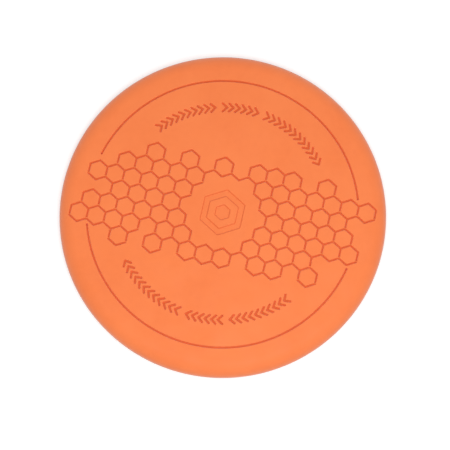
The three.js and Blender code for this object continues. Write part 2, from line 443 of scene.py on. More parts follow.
def ring_distance(points):
    """Distance to the nearer arc of the broken ring."""
    radius = np.hypot(points[:, 0], points[:, 1])
    angle = np.degrees(np.arctan2(points[:, 1], points[:, 0])) % 360
    nearest = np.full(len(points), np.inf)
    for start, end in RING_ARCS:
        on_arc = (angle >= start) & (angle <= end)
        to_ends = [np.linalg.norm(points - polar(RING_RADIUS, at), axis=1) for at in (start, end)]
        distance = np.where(on_arc, np.abs(radius - RING_RADIUS), np.minimum(*to_ends))
        nearest = np.minimum(nearest, distance)
    return nearest


def ring_lines():
    lines = []
    for start, end in RING_ARCS:
        steps = round(end - start)
        lines.append(arc((0, 0), RING_RADIUS, start, end, steps))
        for level in wall_levels(GROOVE_FLOOR, GROOVE_LIP):
            lines.append(arc((0, 0), RING_RADIUS + level, start, end, steps))
            lines.append(arc((0, 0), RING_RADIUS - level, start, end, steps))
            lines.append(arc(polar(RING_RADIUS, end), level, end, end + 180, steps=10))
            lines.append(arc(polar(RING_RADIUS, start), level, start - 180, start, steps=10))
        for radius in np.linspace(PIT_FLOOR, PIT_LIP, num=4):
            lines += [arc(polar(RING_RADIUS, at), radius, 0, 360, steps=16) for at in (start, end)]
    return lines


def pit_share(points):
    """How deep each point is in the small pit at each end of the ring's arcs."""
    share = np.zeros(len(points))
    for at in np.ravel(RING_ARCS):
        distance = np.linalg.norm(points - polar(RING_RADIUS, at), axis=1)
        share = np.maximum(share, smooth_step((PIT_LIP - distance) / (PIT_LIP - PIT_FLOOR)))
    return share


def chevron_angles():
    """Angle of every chevron, in three groups along each row, clockwise."""
    angles = []
    for row_turn in (0, 180):
        angle = CHEVRON_ROW_START + row_turn
        for count in CHEVRON_GROUPS:
            angles += [angle - step * CHEVRON_PITCH for step in range(count)]
            angle -= count * CHEVRON_PITCH + CHEVRON_GROUP_GAP
    return angles


# A chevron's centre line on an upright row: tail, tip, tail. Its ends are rounded.
CHEVRON_HALF = (CHEVRON_HEIGHT - STROKE_FLOOR - STROKE_LIP) / 2
CHEVRON_LINE = np.array([
    (-CHEVRON_REACH / 2, CHEVRON_HALF),
    (CHEVRON_REACH / 2, 0),
    (-CHEVRON_REACH / 2, -CHEVRON_HALF),
])


def segment_distance(points, start, end):
    along = end - start
    share = np.clip((points - start) @ along / (along @ along), 0, 1)
    return np.linalg.norm(points - start - share[:, None] * along, axis=1)


def chevron_distance(points):
    """Distance to the nearest chevron's centre line."""
    nearest = np.full(len(points), np.inf)
    radius = np.hypot(points[:, 0], points[:, 1])
    near_row = np.flatnonzero(np.abs(radius - CHEVRON_ROW_RADIUS) < CHEVRON_HEIGHT)
    for angle in chevron_angles():
        local = turned(points[near_row], 90 - angle) - (0, CHEVRON_ROW_RADIUS)
        close = np.abs(local).max(1) < CHEVRON_HEIGHT
        for start, end in zip(CHEVRON_LINE[:-1], CHEVRON_LINE[1:]):
            distance = segment_distance(local[close], start, end)
            chosen = near_row[close]
            nearest[chosen] = np.minimum(nearest[chosen], distance)
    return nearest


def chevron_outline(level):
    """Closed line at a distance round a chevron: mitred inside its bend, and round elsewhere."""
    tail, tip, _ = CHEVRON_LINE
    outward = math.degrees(math.atan2(*(tail - tip)[::-1])) - 90
    mitre = tip - (level / math.cos(math.radians(outward)), 0)
    upper = [
        *arc(tip, level, 0, outward, steps=3),
        *arc(tail, level, outward, outward + 180, steps=6),
    ]
    lower = [(x, -y) for x, y in upper[1:]][::-1]
    return np.array([*upper, mitre, *lower, upper[0]])


def chevron_lines():
    levels = wall_levels(STROKE_FLOOR, STROKE_LIP)
    local = [CHEVRON_LINE, *(chevron_outline(level) for level in levels)]
    lines = []
    for angle in chevron_angles():
        lines += [turned(line + (0, CHEVRON_ROW_RADIUS), angle - 90) for line in local]
    return lines


def rounded_hexagon(across_flats, rounding):
    """A hexagon in the lattice's direction with rounded corners, as a closed line."""
    inner = across_flats / math.sqrt(3) - rounding / math.cos(math.radians(30))
    points = []
    for side in range(6):
        angle = LATTICE_TURN + 30 + 60 * side
        points += list(arc(polar(inner, angle), rounding, angle - 30, angle + 30, steps=4))
    return np.array([*points, points[0]])


def hexagon_distance(points, across_flats):
    """Distance out from a rounded hexagon's outline, and negative inside it."""
    reach = across_flats / 2 - TARGET_ROUNDING
    angles = LATTICE_TURN + 60 * np.arange(6)
    sides = np.stack([points @ polar(1.0, angle) for angle in angles], -1)
    nearest = np.argmax(sides, 1)
    past_side = sides.max(1) - reach
    along = np.stack([points @ polar(1.0, angle + 90) for angle in angles], -1)
    along = np.abs(along[np.arange(len(points)), nearest])
    past_end = np.clip(along - reach * math.tan(math.radians(30)), 0, None)
    outside = np.hypot(np.clip(past_side, 0, None), past_end)
    return np.where(past_side > 0, outside, past_side) - TARGET_ROUNDING


def target_share(points):
    """1 on the target's sunk floors and 0 on the face."""
    share = np.zeros(len(points))
    for across_flats, sense in TARGET_OUTLINES:
        distance = hexagon_distance(points, across_flats)
        share += sense * smooth_step((TARGET_WALL - distance) / (2 * TARGET_WALL))
    return np.clip(share, 0, 1)


def target_lines():
    lines = []
    reach = TARGET_WALL + FLAT_BORDER
    for across_flats, _ in TARGET_OUTLINES:
        for level in np.linspace(-reach, reach, num=7):
            lines.append(rounded_hexagon(across_flats + 2 * level, TARGET_ROUNDING + level))
    return lines


# ---------------------------------------------------------------- cap surface

def smooth_cap_height(radius):
    """Height of the cap before engraving: flat, then a quarter ellipse down to the widest line."""
    fall = np.clip((radius - FACE_RADIUS) / (PAD_RADIUS - FACE_RADIUS), 0, 1)
    return PAD_TOP - SHOULDER_DEPTH * (1 - np.sqrt(1 - fall**2))


def engraving_share(points):
    """How deep each point is in a groove, from 0 on the face to 1 on a groove's floor."""
    wide = np.minimum(honeycomb_distance(points), ring_distance(points))
    share = smooth_step((GROOVE_LIP - wide) / (GROOVE_LIP - GROOVE_FLOOR))
    share *= 1 - bridge_share(points)
    narrow = chevron_distance(points)
    return np.maximum(share, smooth_step((STROKE_LIP - narrow) / (STROKE_LIP - STROKE_FLOOR)))


def face_grid():
    """Evenly spread points on the face that stay clear of the engraved lines."""
    rows = np.arange(-ENGRAVED_RADIUS, ENGRAVED_RADIUS, FACE_GRID * math.sin(math.radians(60)))
    points = []
    for index, y in enumerate(rows):
        shift = FACE_GRID / 2 * (index % 2)
        columns = np.arange(-ENGRAVED_RADIUS + shift, ENGRAVED_RADIUS, FACE_GRID)
        points += [(x, y) for x in columns]
    points = np.array(points)
    clear = np.minimum(honeycomb_distance(points), ring_distance(points))
    clear = np.minimum(clear, chevron_distance(points))
    for across_flats, _ in TARGET_OUTLINES:
        clear = np.minimum(clear, np.abs(hexagon_distance(points, across_flats)))
    inside = np.hypot(points[:, 0], points[:, 1]) < ENGRAVED_RADIUS - FACE_GRID / 2
    return points[inside & (clear > GROOVE_LIP + 2 * FLAT_BORDER)]


def engraved_face():
    """Vertices, triangles and painted recess shade of the cap's face out to the engraved radius."""
    angles = np.arange(ROUND_SEGMENTS) * 360 / ROUND_SEGMENTS
    points = list(polar(ENGRAVED_RADIUS, angles))
    edges = [(index, (index + 1) % ROUND_SEGMENTS) for index in range(ROUND_SEGMENTS)]
    shoulder_rings = np.linspace(FACE_RADIUS, ENGRAVED_RADIUS, SHOULDER_RINGS)[:-1]
    lines = [arc((0, 0), radius, 0, 360, ROUND_SEGMENTS // 2) for radius in shoulder_rings]
    lines += honeycomb_lines() + ring_lines() + chevron_lines() + target_lines()
    for line in lines:
        start = len(points)
        points += list(line)
        edges += [(start + step, start + step + 1) for step in range(len(line) - 1)]
    points += list(face_grid())
    vectors = [Vector(point) for point in points]
    found = delaunay_2d_cdt(vectors, edges, [], 0, FACE_TOLERANCE)
    plane = np.array([tuple(vertex) for vertex in found[0]])
    share = engraving_share(plane)
    pits = pit_share(plane)
    target = target_share(plane)
    depth = GROOVE_DEPTH * share + PIT_DEPTH * pits + TARGET_DEPTH * target
    height = smooth_cap_height(np.hypot(plane[:, 0], plane[:, 1])) - depth
    # Painted shade: a deeper orange in the grooves and pits and on the target's walls, where shade falls.
    painted_shade = share + PIT_PAINTED_SHADE * pits + TARGET_PAINTED_SHADE * target * (1 - target)
    return np.column_stack([plane, height]), [tuple(face) for face in found[2]], painted_shade


# ---------------------------------------------------------------- mesh building

def make_mesh(name, vertices, faces, painted_recess_shade=None):
    """A mesh in metres from millimetre vertices, with merged doubles and its faces pointing out."""
    mesh = bpy.data.meshes.new(name)
    mesh.from_pydata((np.asarray(vertices) * MM).tolist(), [], faces)
    # An optional point attribute of painted shade in recesses, read by the cap's material.
    if painted_recess_shade is not None:
        mesh.attributes.new("painted_recess_shade", "FLOAT", "POINT").data.foreach_set("value", painted_recess_shade)
    work = bmesh.new()
    work.from_mesh(mesh)
    bmesh.ops.remove_doubles(work, verts=work.verts, dist=MERGE_DISTANCE * MM)
    bmesh.ops.recalc_face_normals(work, faces=work.faces)
    for face in work.faces:
        face.smooth = True
    work.to_mesh(mesh)
    work.free()
    return mesh


def make_piece(name, mesh, material, node):
    """Links a mesh as a piece that stands for a CAD node and rides on the pad's one body."""
    piece = bpy.data.objects.new(name, mesh)
    bpy.context.scene.collection.objects.link(piece)
    mesh.materials.clear()
    mesh.materials.append(material)
    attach(piece, "root")
    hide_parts(node)


def filleted(corners, closed=False, steps=4):
    """A profile line from (radius, height, fillet) corners, with an arc in place of each corner."""
    corners = [np.array(corner, float) for corner in corners]
    count = len(corners)
    line = []
    for index, corner in enumerate(corners):
        here, fillet = corner[:2], corner[2]
        at_end = not closed and index in (0, count - 1)
        if at_end or fillet == 0:
            line.append(here)
            continue
        back = corners[index - 1][:2] - here
        ahead = corners[(index + 1) % count][:2] - here
        back /= np.linalg.norm(back)
        ahead /= np.linalg.norm(ahead)
        half_angle = math.acos(np.clip(back @ ahead, -1, 1)) / 2
        tangent = fillet / math.tan(half_angle)
        bisector = (back + ahead) / np.linalg.norm(back + ahead)
        middle = here + bisector * fillet / math.sin(half_angle)
        first = here + back * tangent - middle
        last = here + ahead * tangent - middle
        for step in range(steps + 1):
            share = step / steps
            spoke = first * (1 - share) + last * share
            line.append(middle + spoke / np.linalg.norm(spoke) * fillet)
    return line


def lathe(profile, segments, closed=False, shape=None):
    """Vertices and faces of a profile turned about the Z axis. shape may change each ring's radius."""
    angles = np.arange(segments) * 360 / segments
    vertices, rings = [], []
    for radius, height in profile:
        if radius < ON_AXIS:
            rings.append([len(vertices)] * segments)
            vertices.append((0, 0, height))
            continue
        radii = np.full(segments, float(radius)) if shape is None else shape(radius, angles, height)
        ring = np.column_stack([polar(radii, angles), np.full(segments, height)])
        rings.append(list(range(len(vertices), len(vertices) + segments)))
        vertices += ring.tolist()
    pairs = list(zip(rings[:-1], rings[1:]))
    if closed:
        pairs.append((rings[-1], rings[0]))
    faces = []
    for lower, upper in pairs:
        for index in range(segments):
            after = (index + 1) % segments
            corners = [lower[index], lower[after], upper[after], upper[index]]
            face = list(dict.fromkeys(corners))
            if len(face) > 2:
                faces.append(face)
    return vertices, faces


def cut(piece_mesh, cutter_meshes):
    """The mesh with other closed meshes cut out of it."""
    body = bpy.data.objects.new("cut_body", piece_mesh)
    scene_objects = bpy.context.scene.collection.objects
    scene_objects.link(body)
    cutters = []
    for mesh in cutter_meshes:
        cutter = bpy.data.objects.new("cutter", mesh)
        scene_objects.link(cutter)
        cutters.append(cutter)
        modifier = body.modifiers.new("cut", "BOOLEAN")
        modifier.object = cutter
        modifier.operation = "DIFFERENCE"
        modifier.solver = "EXACT"
    depsgraph = bpy.context.evaluated_depsgraph_get()
    result = bpy.data.meshes.new_from_object(body.evaluated_get(depsgraph))
    for extra in [body, *cutters]:
        bpy.data.objects.remove(extra)
    return result


def smooth_by_angle(mesh, degrees=35):
    """Smooth shading that stays crisp across edges sharper than the angle."""
    mesh.shade_smooth()
    mesh.set_sharp_from_angle(angle=math.radians(degrees))


# ---------------------------------------------------------------- materials

PLY_THICKNESS = 1.3
TOOL_MARK_SPACING = 0.45

# Parts of a noise's range that are stretched to all of it, for soft patches and for crisper ones.
SOFT_PATCHES = (0.3, 0.7)
CRISP_PATCHES = (0.35, 0.65)


class NodeTree:
    """The node tree of a material or a world, and short calls that add nodes to it."""

    def __init__(self, owner):
        owner.use_nodes = True
        self.tree = owner.node_tree

    def set(self, node, values):
        for key, value in values.items():
            socket = node.inputs[key.replace("_", " ") if isinstance(key, str) else key]
            if isinstance(value, bpy.types.NodeSocket):
                self.tree.links.new(value, socket)
            else:
                socket.default_value = value

    def add(self, kind, inputs=None, **settings):
        node = self.tree.nodes.new(kind)
        for key, value in settings.items():
            setattr(node, key, value)
        self.set(node, inputs or {})
        return node

    def remap(self, value, source, target=(0, 1)):
        """The value with its source range stretched over the target range, and clamped to it."""
        inputs = {"Value": value, "From_Min": source[0], "From_Max": source[1]}
        inputs.update({"To_Min": target[0], "To_Max": target[1]})
        return self.add("ShaderNodeMapRange", inputs).outputs[0]

    def math(self, operation, *values):
        return self.add("ShaderNodeMath", dict(enumerate(values)), operation=operation).outputs[0]

    def axis(self, vector, name):
        return self.add("ShaderNodeSeparateXYZ", {"Vector": vector}).outputs[name]

    def is_seen(self):
        """1 for what the camera sees directly, and 0 for light that falls on things."""
        return self.add("ShaderNodeLightPath").outputs["Is Camera Ray"]


class NodeMaterial(NodeTree):
    """A Principled material with noise, colour and bump calls. Sizes are in millimetres."""

    def __init__(self, name, **values):
        self.material = bpy.data.materials.new(name)
        super().__init__(self.material)
        self.principled = self.tree.nodes["Principled BSDF"]
        self.set(self.principled, values)
        self.position = self.add("ShaderNodeTexCoord").outputs["Object"]

    def noise(self, size, detail=2.0, roughness=0.5, vector=None):
        """Noise from 0 to 1 whose features are about size across."""
        inputs = {"Vector": vector or self.position, "Scale": 1 / (size * MM)}
        inputs.update({"Detail": detail, "Roughness": roughness})
        return self.add("ShaderNodeTexNoise", inputs).outputs["Fac"]

    def pebbles(self, size):
        """Distance from the middle of each cell in a layer of cells about size across."""
        inputs = {"Vector": self.position, "Scale": 1 / (size * MM)}
        return self.add("ShaderNodeTexVoronoi", inputs).outputs["Distance"]

    def stretch(self, x, y, z):
        """The position scaled along each axis."""
        inputs = {0: self.position, 1: (x, y, z)}
        return self.add("ShaderNodeVectorMath", inputs, operation="MULTIPLY").outputs[0]

    def mix(self, share, first, second):
        """A colour that is the first where share is 0 and the second where it is 1."""
        inputs = {0: share, 6: first, 7: second}
        return self.add("ShaderNodeMix", inputs, data_type="RGBA").outputs[2]

    def tinted(self, base, share, strength, colour):
        """The base mixed with up to the given strength of another colour."""
        return self.mix(self.math("MULTIPLY", share, strength), base, colour)

    def attribute(self, name):
        return self.add("ShaderNodeAttribute", attribute_name=name).outputs["Fac"]

    def bump(self, height, depth, normal=None):
        """A normal from a 0 to 1 height that stands depth tall."""
        inputs = {"Height": height, "Distance": depth * MM, "Strength": 1.0}
        if normal is not None:
            inputs["Normal"] = normal
        return self.add("ShaderNodeBump", inputs).outputs[0]

    def finish(self, **values):
        self.set(self.principled, values)
        return self.material


def linear(red, green, blue):
    """An sRGB colour from 0 to 255 as linear light with full alpha."""
    shares = [channel / 255 for channel in (red, green, blue)]
    light = [c / 12.92 if c <= 0.04045 else ((c + 0.055) / 1.055) ** 2.4 for c in shares]
    return (*light, 1.0)


def cap_rubber_material():
    """Matt orange rubber: cloudy pigment, fine moulded grain, and painted shade, a deeper orange, in the
    recesses.
    """
    m = NodeMaterial("cap_rubber", Specular_IOR_Level=0.4, Sheen_Weight=0.45, Sheen_Roughness=0.45)
    clouds = m.remap(m.noise(size=38, detail=3.0), SOFT_PATCHES)
    mottle = m.remap(m.noise(size=7, detail=2.0), SOFT_PATCHES)
    base = m.mix(clouds, linear(236, 117, 55), linear(240, 123, 61))
    base = m.tinted(base, mottle, strength=0.35, colour=linear(244, 127, 65))
    # Painted shade: the grooves, pits and the target's walls darken to a deeper orange.
    base = m.tinted(base, m.attribute("painted_recess_shade"), strength=0.72, colour=linear(212, 77, 4))
    grain = m.noise(size=0.55, detail=2.0)
    ripple = m.noise(size=9, detail=1.0)
    normal = m.bump(grain, depth=0.035, normal=m.bump(ripple, depth=0.05))
    roughness = m.remap(m.noise(size=14, detail=4.0), SOFT_PATCHES, (0.56, 0.7))
    return m.finish(Base_Color=base, Roughness=roughness, Normal=normal)


def foam_material():
    """Dark closed-cell foam: a skin of fine pores."""
    m = NodeMaterial("foam", Specular_IOR_Level=0.3)
    pore = m.remap(m.pebbles(size=0.9), (0.05, 0.5))
    base = m.mix(m.noise(size=22, detail=3.0), linear(52, 53, 56), linear(66, 67, 70))
    base = m.tinted(base, pore, strength=0.25, colour=linear(86, 87, 90))
    return m.finish(Base_Color=base, Roughness=0.92, Normal=m.bump(pore, depth=0.12))


def plywood_material():
    """Birch plywood: long grain on the faces, and stripes of end and long grain on the edges."""
    m = NodeMaterial("plywood", Specular_IOR_Level=0.35)
    fibres = m.noise(size=1.4, detail=4.0, vector=m.stretch(0.06, 1.0, 1.0))
    figure = m.noise(size=16, detail=3.0, vector=m.stretch(0.18, 1.0, 1.0))
    face = m.mix(m.remap(figure, CRISP_PATCHES), linear(222, 190, 145), linear(205, 168, 120))
    face = m.tinted(face, fibres, strength=0.5, colour=linear(186, 147, 100))
    plies = m.math("MULTIPLY", m.axis(m.position, "Z"), math.pi / (PLY_THICKNESS * MM))
    stripe = m.remap(m.math("SINE", plies), (-0.25, 0.25))
    edge = m.mix(stripe, linear(170, 124, 80), linear(214, 180, 134))
    facing = m.add("ShaderNodeNewGeometry").outputs["Normal"]
    flat = m.math("ABSOLUTE", m.axis(facing, "Z"))
    base = m.mix(m.remap(flat, (0.6, 0.8)), edge, face)
    roughness = m.remap(figure, SOFT_PATCHES, (0.6, 0.75))
    return m.finish(Base_Color=base, Roughness=roughness, Normal=m.bump(fibres, depth=0.06))


def mat_rubber_material():
    """Black rubber mat: fine moulded grain, and pale scuffs."""
    m = NodeMaterial("mat_rubber", Specular_IOR_Level=0.4)
    scuffs = m.remap(m.noise(size=30, detail=6.0, roughness=0.65), (0.5, 0.72))
    base = m.mix(m.noise(size=12, detail=3.0), linear(26, 27, 29), linear(36, 37, 39))
    base = m.tinted(base, scuffs, strength=0.35, colour=linear(84, 83, 80))
    roughness = m.remap(scuffs, (0, 1), (0.62, 0.85))
    return m.finish(Base_Color=base, Roughness=roughness, Normal=m.bump(m.pebbles(size=1.1), depth=0.14))


def zinc_material():
    """Zinc-plated steel: turning marks round the axis and cloudy passivation."""
    m = NodeMaterial("zinc_plate", Metallic=1.0)
    level = m.stretch(1, 1, 0)
    from_axis = m.add("ShaderNodeVectorMath", {0: level}, operation="LENGTH").outputs["Value"]
    marks = m.math("MULTIPLY", from_axis, 2 * math.pi / (TOOL_MARK_SPACING * MM))
    turning = m.remap(m.math("SINE", marks), (-1, 1))
    cloud = m.remap(m.noise(size=5, detail=4.0), CRISP_PATCHES)
    base = m.mix(cloud, linear(196, 199, 204), linear(214, 212, 200))
    roughness = m.remap(cloud, (0, 1), (0.26, 0.42))
    return m.finish(Base_Color=base, Roughness=roughness, Normal=m.bump(turning, depth=0.006))


def screw_material():
    """Plain steel screws: darker, with fine scratches."""
    m = NodeMaterial("screw_steel", Metallic=1.0)
    scratches = m.noise(size=0.35, detail=3.0, vector=m.stretch(1.0, 0.12, 0.4))
    patch = m.remap(m.noise(size=1.8, detail=3.0), CRISP_PATCHES)
    base = m.mix(patch, linear(158, 160, 164), linear(184, 184, 182))
    roughness = m.remap(scratches, SOFT_PATCHES, (0.24, 0.46))
    return m.finish(Base_Color=base, Roughness=roughness, Normal=m.bump(scratches, depth=0.01))


# ---------------------------------------------------------------- pieces

def rubber_cap():
    """The engraved face, and the turned shoulder, undercut, lip and cavity that close it."""
    face_vertices, face_triangles, shares = engraved_face()
    shoulder_width = PAD_RADIUS - FACE_RADIUS
    start_angle = math.asin((ENGRAVED_RADIUS - FACE_RADIUS) / shoulder_width)
    shoulder = [
        (FACE_RADIUS + shoulder_width * math.sin(angle), WIDEST_HEIGHT + SHOULDER_DEPTH * math.cos(angle))
        for angle in np.linspace(start_angle, math.pi / 2, SHOULDER_STEPS)[:-1]
    ]
    flash = [
        (PAD_RADIUS, WIDEST_HEIGHT + FLASH_HEIGHT),
        (PAD_RADIUS + FLASH_REACH, WIDEST_HEIGHT + FLASH_CREST),
        (PAD_RADIUS + FLASH_REACH, WIDEST_HEIGHT - FLASH_CREST),
        (PAD_RADIUS, WIDEST_HEIGHT - FLASH_HEIGHT),
    ]
    drop = WIDEST_HEIGHT - CAP_LOW.z
    undercut = [
        (PAD_RADIUS - UNDERCUT_WIDTH * (1 - math.cos(angle)), WIDEST_HEIGHT - drop * math.sin(angle))
        for angle in np.linspace(math.radians(UNDERCUT_START), math.pi / 2, UNDERCUT_STEPS)
    ]
    lip_top = CAP_LOW.z + LIP_THICKNESS
    inside = filleted([
        (undercut[-1][0] - LIP_LAND, CAP_LOW.z, 0),
        (LIP_RADIUS, CAP_LOW.z, LIP_ROUNDING),
        (LIP_RADIUS, lip_top, LIP_ROUNDING),
        (CAVITY_RADIUS, lip_top, 0),
        (CAVITY_RADIUS, CEILING, CAVITY_FILLET),
        (CAVITY_RADIUS / 2, CEILING, 0),
        (0, CEILING, 0),
    ])
    vertices, faces = lathe(shoulder + flash + undercut + inside, ROUND_SEGMENTS)
    first = len(face_vertices)
    all_vertices = np.vstack([face_vertices, vertices])
    all_faces = face_triangles + [[first + index for index in face] for face in faces]
    # Painted shade lies in the face's recesses only, and none on the turned parts.
    painted_recess_shade = np.concatenate([shares, np.zeros(len(vertices))])
    mesh = make_mesh("rubber_cap_skin", all_vertices, all_faces, painted_recess_shade)
    make_piece("rubber_cap_skin", mesh, cap_rubber_material(), "rubber_cap")


def turned_mesh(name, corners, segments, closed=False):
    """A mesh turned from (radius, height, fillet) corners."""
    return make_mesh(name, *lathe(filleted(corners, closed), segments, closed))


def foam_disc():
    """Die-cut foam: its edge is drawn in half way up, and its rims are soft."""
    bottom, top, rim = FOAM_LOW.z, FOAM_HIGH.z, FOAM_HIGH.x
    corners = [
        (0, bottom, 0),
        (rim / 2, bottom, 0),
        (rim, bottom, FOAM_RIM_ROUNDING),
        (rim - FOAM_EDGE_HOLLOW, (bottom + top) / 2, FOAM_WAIST_ROUNDING),
        (rim, top, FOAM_RIM_ROUNDING),
        (rim / 2, top, 0),
        (0, top, 0),
    ]
    mesh = turned_mesh("damping_foam_disc", corners, LAYER_SEGMENTS)
    make_piece("damping_foam_disc", mesh, foam_material(), "damping_foam")


def screw_places():
    """Matrices, in metres, that move a shape from the pad's axis to each screw's place."""
    places = []
    for angle, turn in zip(SCREW_ANGLES, SCREW_TURNS):
        x, y = polar(SCREW_CIRCLE * MM, angle)
        places.append(Matrix.Translation((x, y, 0)) @ Matrix.Rotation(math.radians(turn), 4, "Z"))
    return places


def at_screws(mesh):
    """A copy of a mesh at every screw's place."""
    copies = []
    for place in screw_places():
        copy = mesh.copy()
        copy.transform(place)
        copies.append(copy)
    return copies


def core_board():
    """Plywood ring with eased edges and a pilot hole for each screw."""
    bottom, top, rim = BOARD_LOW.z, BOARD_HIGH.z, BOARD_HIGH.x
    ring = turned_mesh("core_board_ply", [
        (BOARD_HOLE_RADIUS, bottom, BOARD_HOLE_EASE),
        (rim, bottom, BOARD_RIM_EASE),
        (rim, top, BOARD_RIM_EASE),
        (BOARD_HOLE_RADIUS, top, BOARD_HOLE_EASE),
    ], LAYER_SEGMENTS, closed=True)
    pilot = turned_mesh("pilot", [
        (0, bottom - CUTTER_REACH, 0),
        (PILOT_RADIUS + PILOT_MOUTH, bottom - CUTTER_REACH, 0),
        (PILOT_RADIUS, bottom + PILOT_MOUTH_DEPTH, 0),
        (PILOT_RADIUS, PILOT_TOP - PILOT_RADIUS, 0),
        (0, PILOT_TOP, 0),
    ], PILOT_SEGMENTS)
    mesh = cut(ring, at_screws(pilot))
    smooth_by_angle(mesh)
    make_piece("core_board_ply", mesh, plywood_material(), "core_board")


def base_mat():
    """Rubber mat with rounded edges, whose underside steps up at each grip groove."""
    top, rim = MAT_HIGH.z, MAT_HIGH.x
    corners = [(MAT_HOLE_RADIUS, top, MAT_TOP_ROUNDING), (MAT_HOLE_RADIUS, 0, MAT_HOLE_ROUNDING)]
    for index in range(MAT_GROOVE_COUNT):
        inner = MAT_GROOVE_FIRST + index * MAT_GROOVE_SPACING
        outer = inner + MAT_GROOVE_WIDTH
        corners += [
            (inner, 0, MAT_GROOVE_ROUNDING),
            (inner, MAT_GROOVE_DEPTH, MAT_GROOVE_ROUNDING),
            (outer, MAT_GROOVE_DEPTH, MAT_GROOVE_ROUNDING),
            (outer, 0, MAT_GROOVE_ROUNDING),
        ]
    corners += [
        (rim - MAT_EDGE, 0, MAT_EDGE_ROUNDING),
        (rim, MAT_EDGE, MAT_EDGE_ROUNDING),
        (rim, top, MAT_TOP_ROUNDING),
    ]
    mesh = turned_mesh("base_mat_skin", corners, MAT_SEGMENTS, closed=True)
    make_piece("base_mat_skin", mesh, mat_rubber_material(), "base_mat")


def thread_phase(angles, height, pitch):
    """Distance in pitches from the middle of a right-hand thread's groove or ridge, from 0 to 0.5."""
    return np.abs((height / pitch - angles / 360) % 1 - 0.5)


def stand_insert():
    """Turned insert: the bore's profile carries a 60 degree thread, and the flange four seats."""
    bottom, top, rim = INSERT_LOW.z, INSERT_HIGH.z, INSERT_HIGH.x
    thread_start = bottom + BORE_LEAD_IN

    def threaded(radius, angles, height):
        if radius > BORE_RADIUS + THREAD_MARGIN:
            return np.full(len(angles), float(radius))
        into_groove = BORE_GROOVE_MOUTH - thread_phase(angles, height, BORE_PITCH)
        groove = np.clip(into_groove / BORE_GROOVE_FLANK, 0, 1)
        fade = smooth_step((height - thread_start) / THREAD_RUN_OUT)
        fade *= smooth_step((top - height) / THREAD_RUN_OUT)
        return radius + BORE_THREAD_DEPTH * groove * fade

    outside = filleted([
        (BORE_RADIUS, thread_start, 0),
        (BORE_RADIUS + BORE_LEAD_IN, bottom, BORE_LEAD_IN_ROUNDING),
        (rim, bottom, FLANGE_LOWER_ROUNDING),
        (rim, FLANGE_TOP, FLANGE_UPPER_ROUNDING),
        (BARREL_RADIUS, FLANGE_TOP, BARREL_ROOT_FILLET),
        (BARREL_RADIUS, top, BARREL_END_ROUNDING),
        (BORE_RADIUS, top, 0),
    ])
    rings = round((top - thread_start) / BORE_PITCH * THREAD_RINGS_PER_TURN)
    bore = [(BORE_RADIUS, height) for height in np.linspace(top, thread_start, rings + 1)[1:-1]]
    turned_body = lathe(outside + bore, INSERT_SEGMENTS, closed=True, shape=threaded)
    body = make_mesh("stand_insert_turned", *turned_body)
    seat_radius = SCREW_HEAD_RADIUS + SEAT_CLEARANCE
    shank_radius = SCREW_SHANK_RADIUS + SEAT_CLEARANCE
    cone_start = SCREW_FACE + SCREW_HEAD_EDGE
    seat = turned_mesh("seat", [
        (0, bottom - CUTTER_REACH, 0),
        (seat_radius + SEAT_BEVEL, bottom - CUTTER_REACH, 0),
        (seat_radius + SEAT_BEVEL, bottom - SEAT_BEVEL_LEAD, 0),
        (seat_radius, bottom + SEAT_BEVEL - SEAT_BEVEL_LEAD, 0),
        (seat_radius, cone_start, 0),
        (shank_radius, cone_start + seat_radius - shank_radius, 0),
        (shank_radius, FLANGE_TOP + CUTTER_REACH, 0),
        (0, FLANGE_TOP + CUTTER_REACH, 0),
    ], SEAT_SEGMENTS)
    mesh = cut(body, at_screws(seat))
    smooth_by_angle(mesh)
    make_piece("stand_insert_turned", mesh, zinc_material(), "stand_insert")


def recess_slot(turn):
    """A slot of a cross recess that narrows towards its floor, as a closed six-sided mesh."""
    vertices = []
    for height, share in ((SCREW_FACE - RECESS_REACH, 1.0), (SCREW_FACE + RECESS_DEPTH, RECESS_TAPER)):
        x, y = share * RECESS_LENGTH / 2, share * RECESS_WIDTH / 2
        ring = turned([(-x, -y), (x, -y), (x, y), (-x, y)], turn)
        vertices += [(*corner, height) for corner in ring]
    faces = [(0, 1, 2, 3), (4, 5, 6, 7)]
    faces += [(side, (side + 1) % 4, (side + 1) % 4 + 4, side + 4) for side in range(4)]
    return make_mesh("slot", vertices, faces)


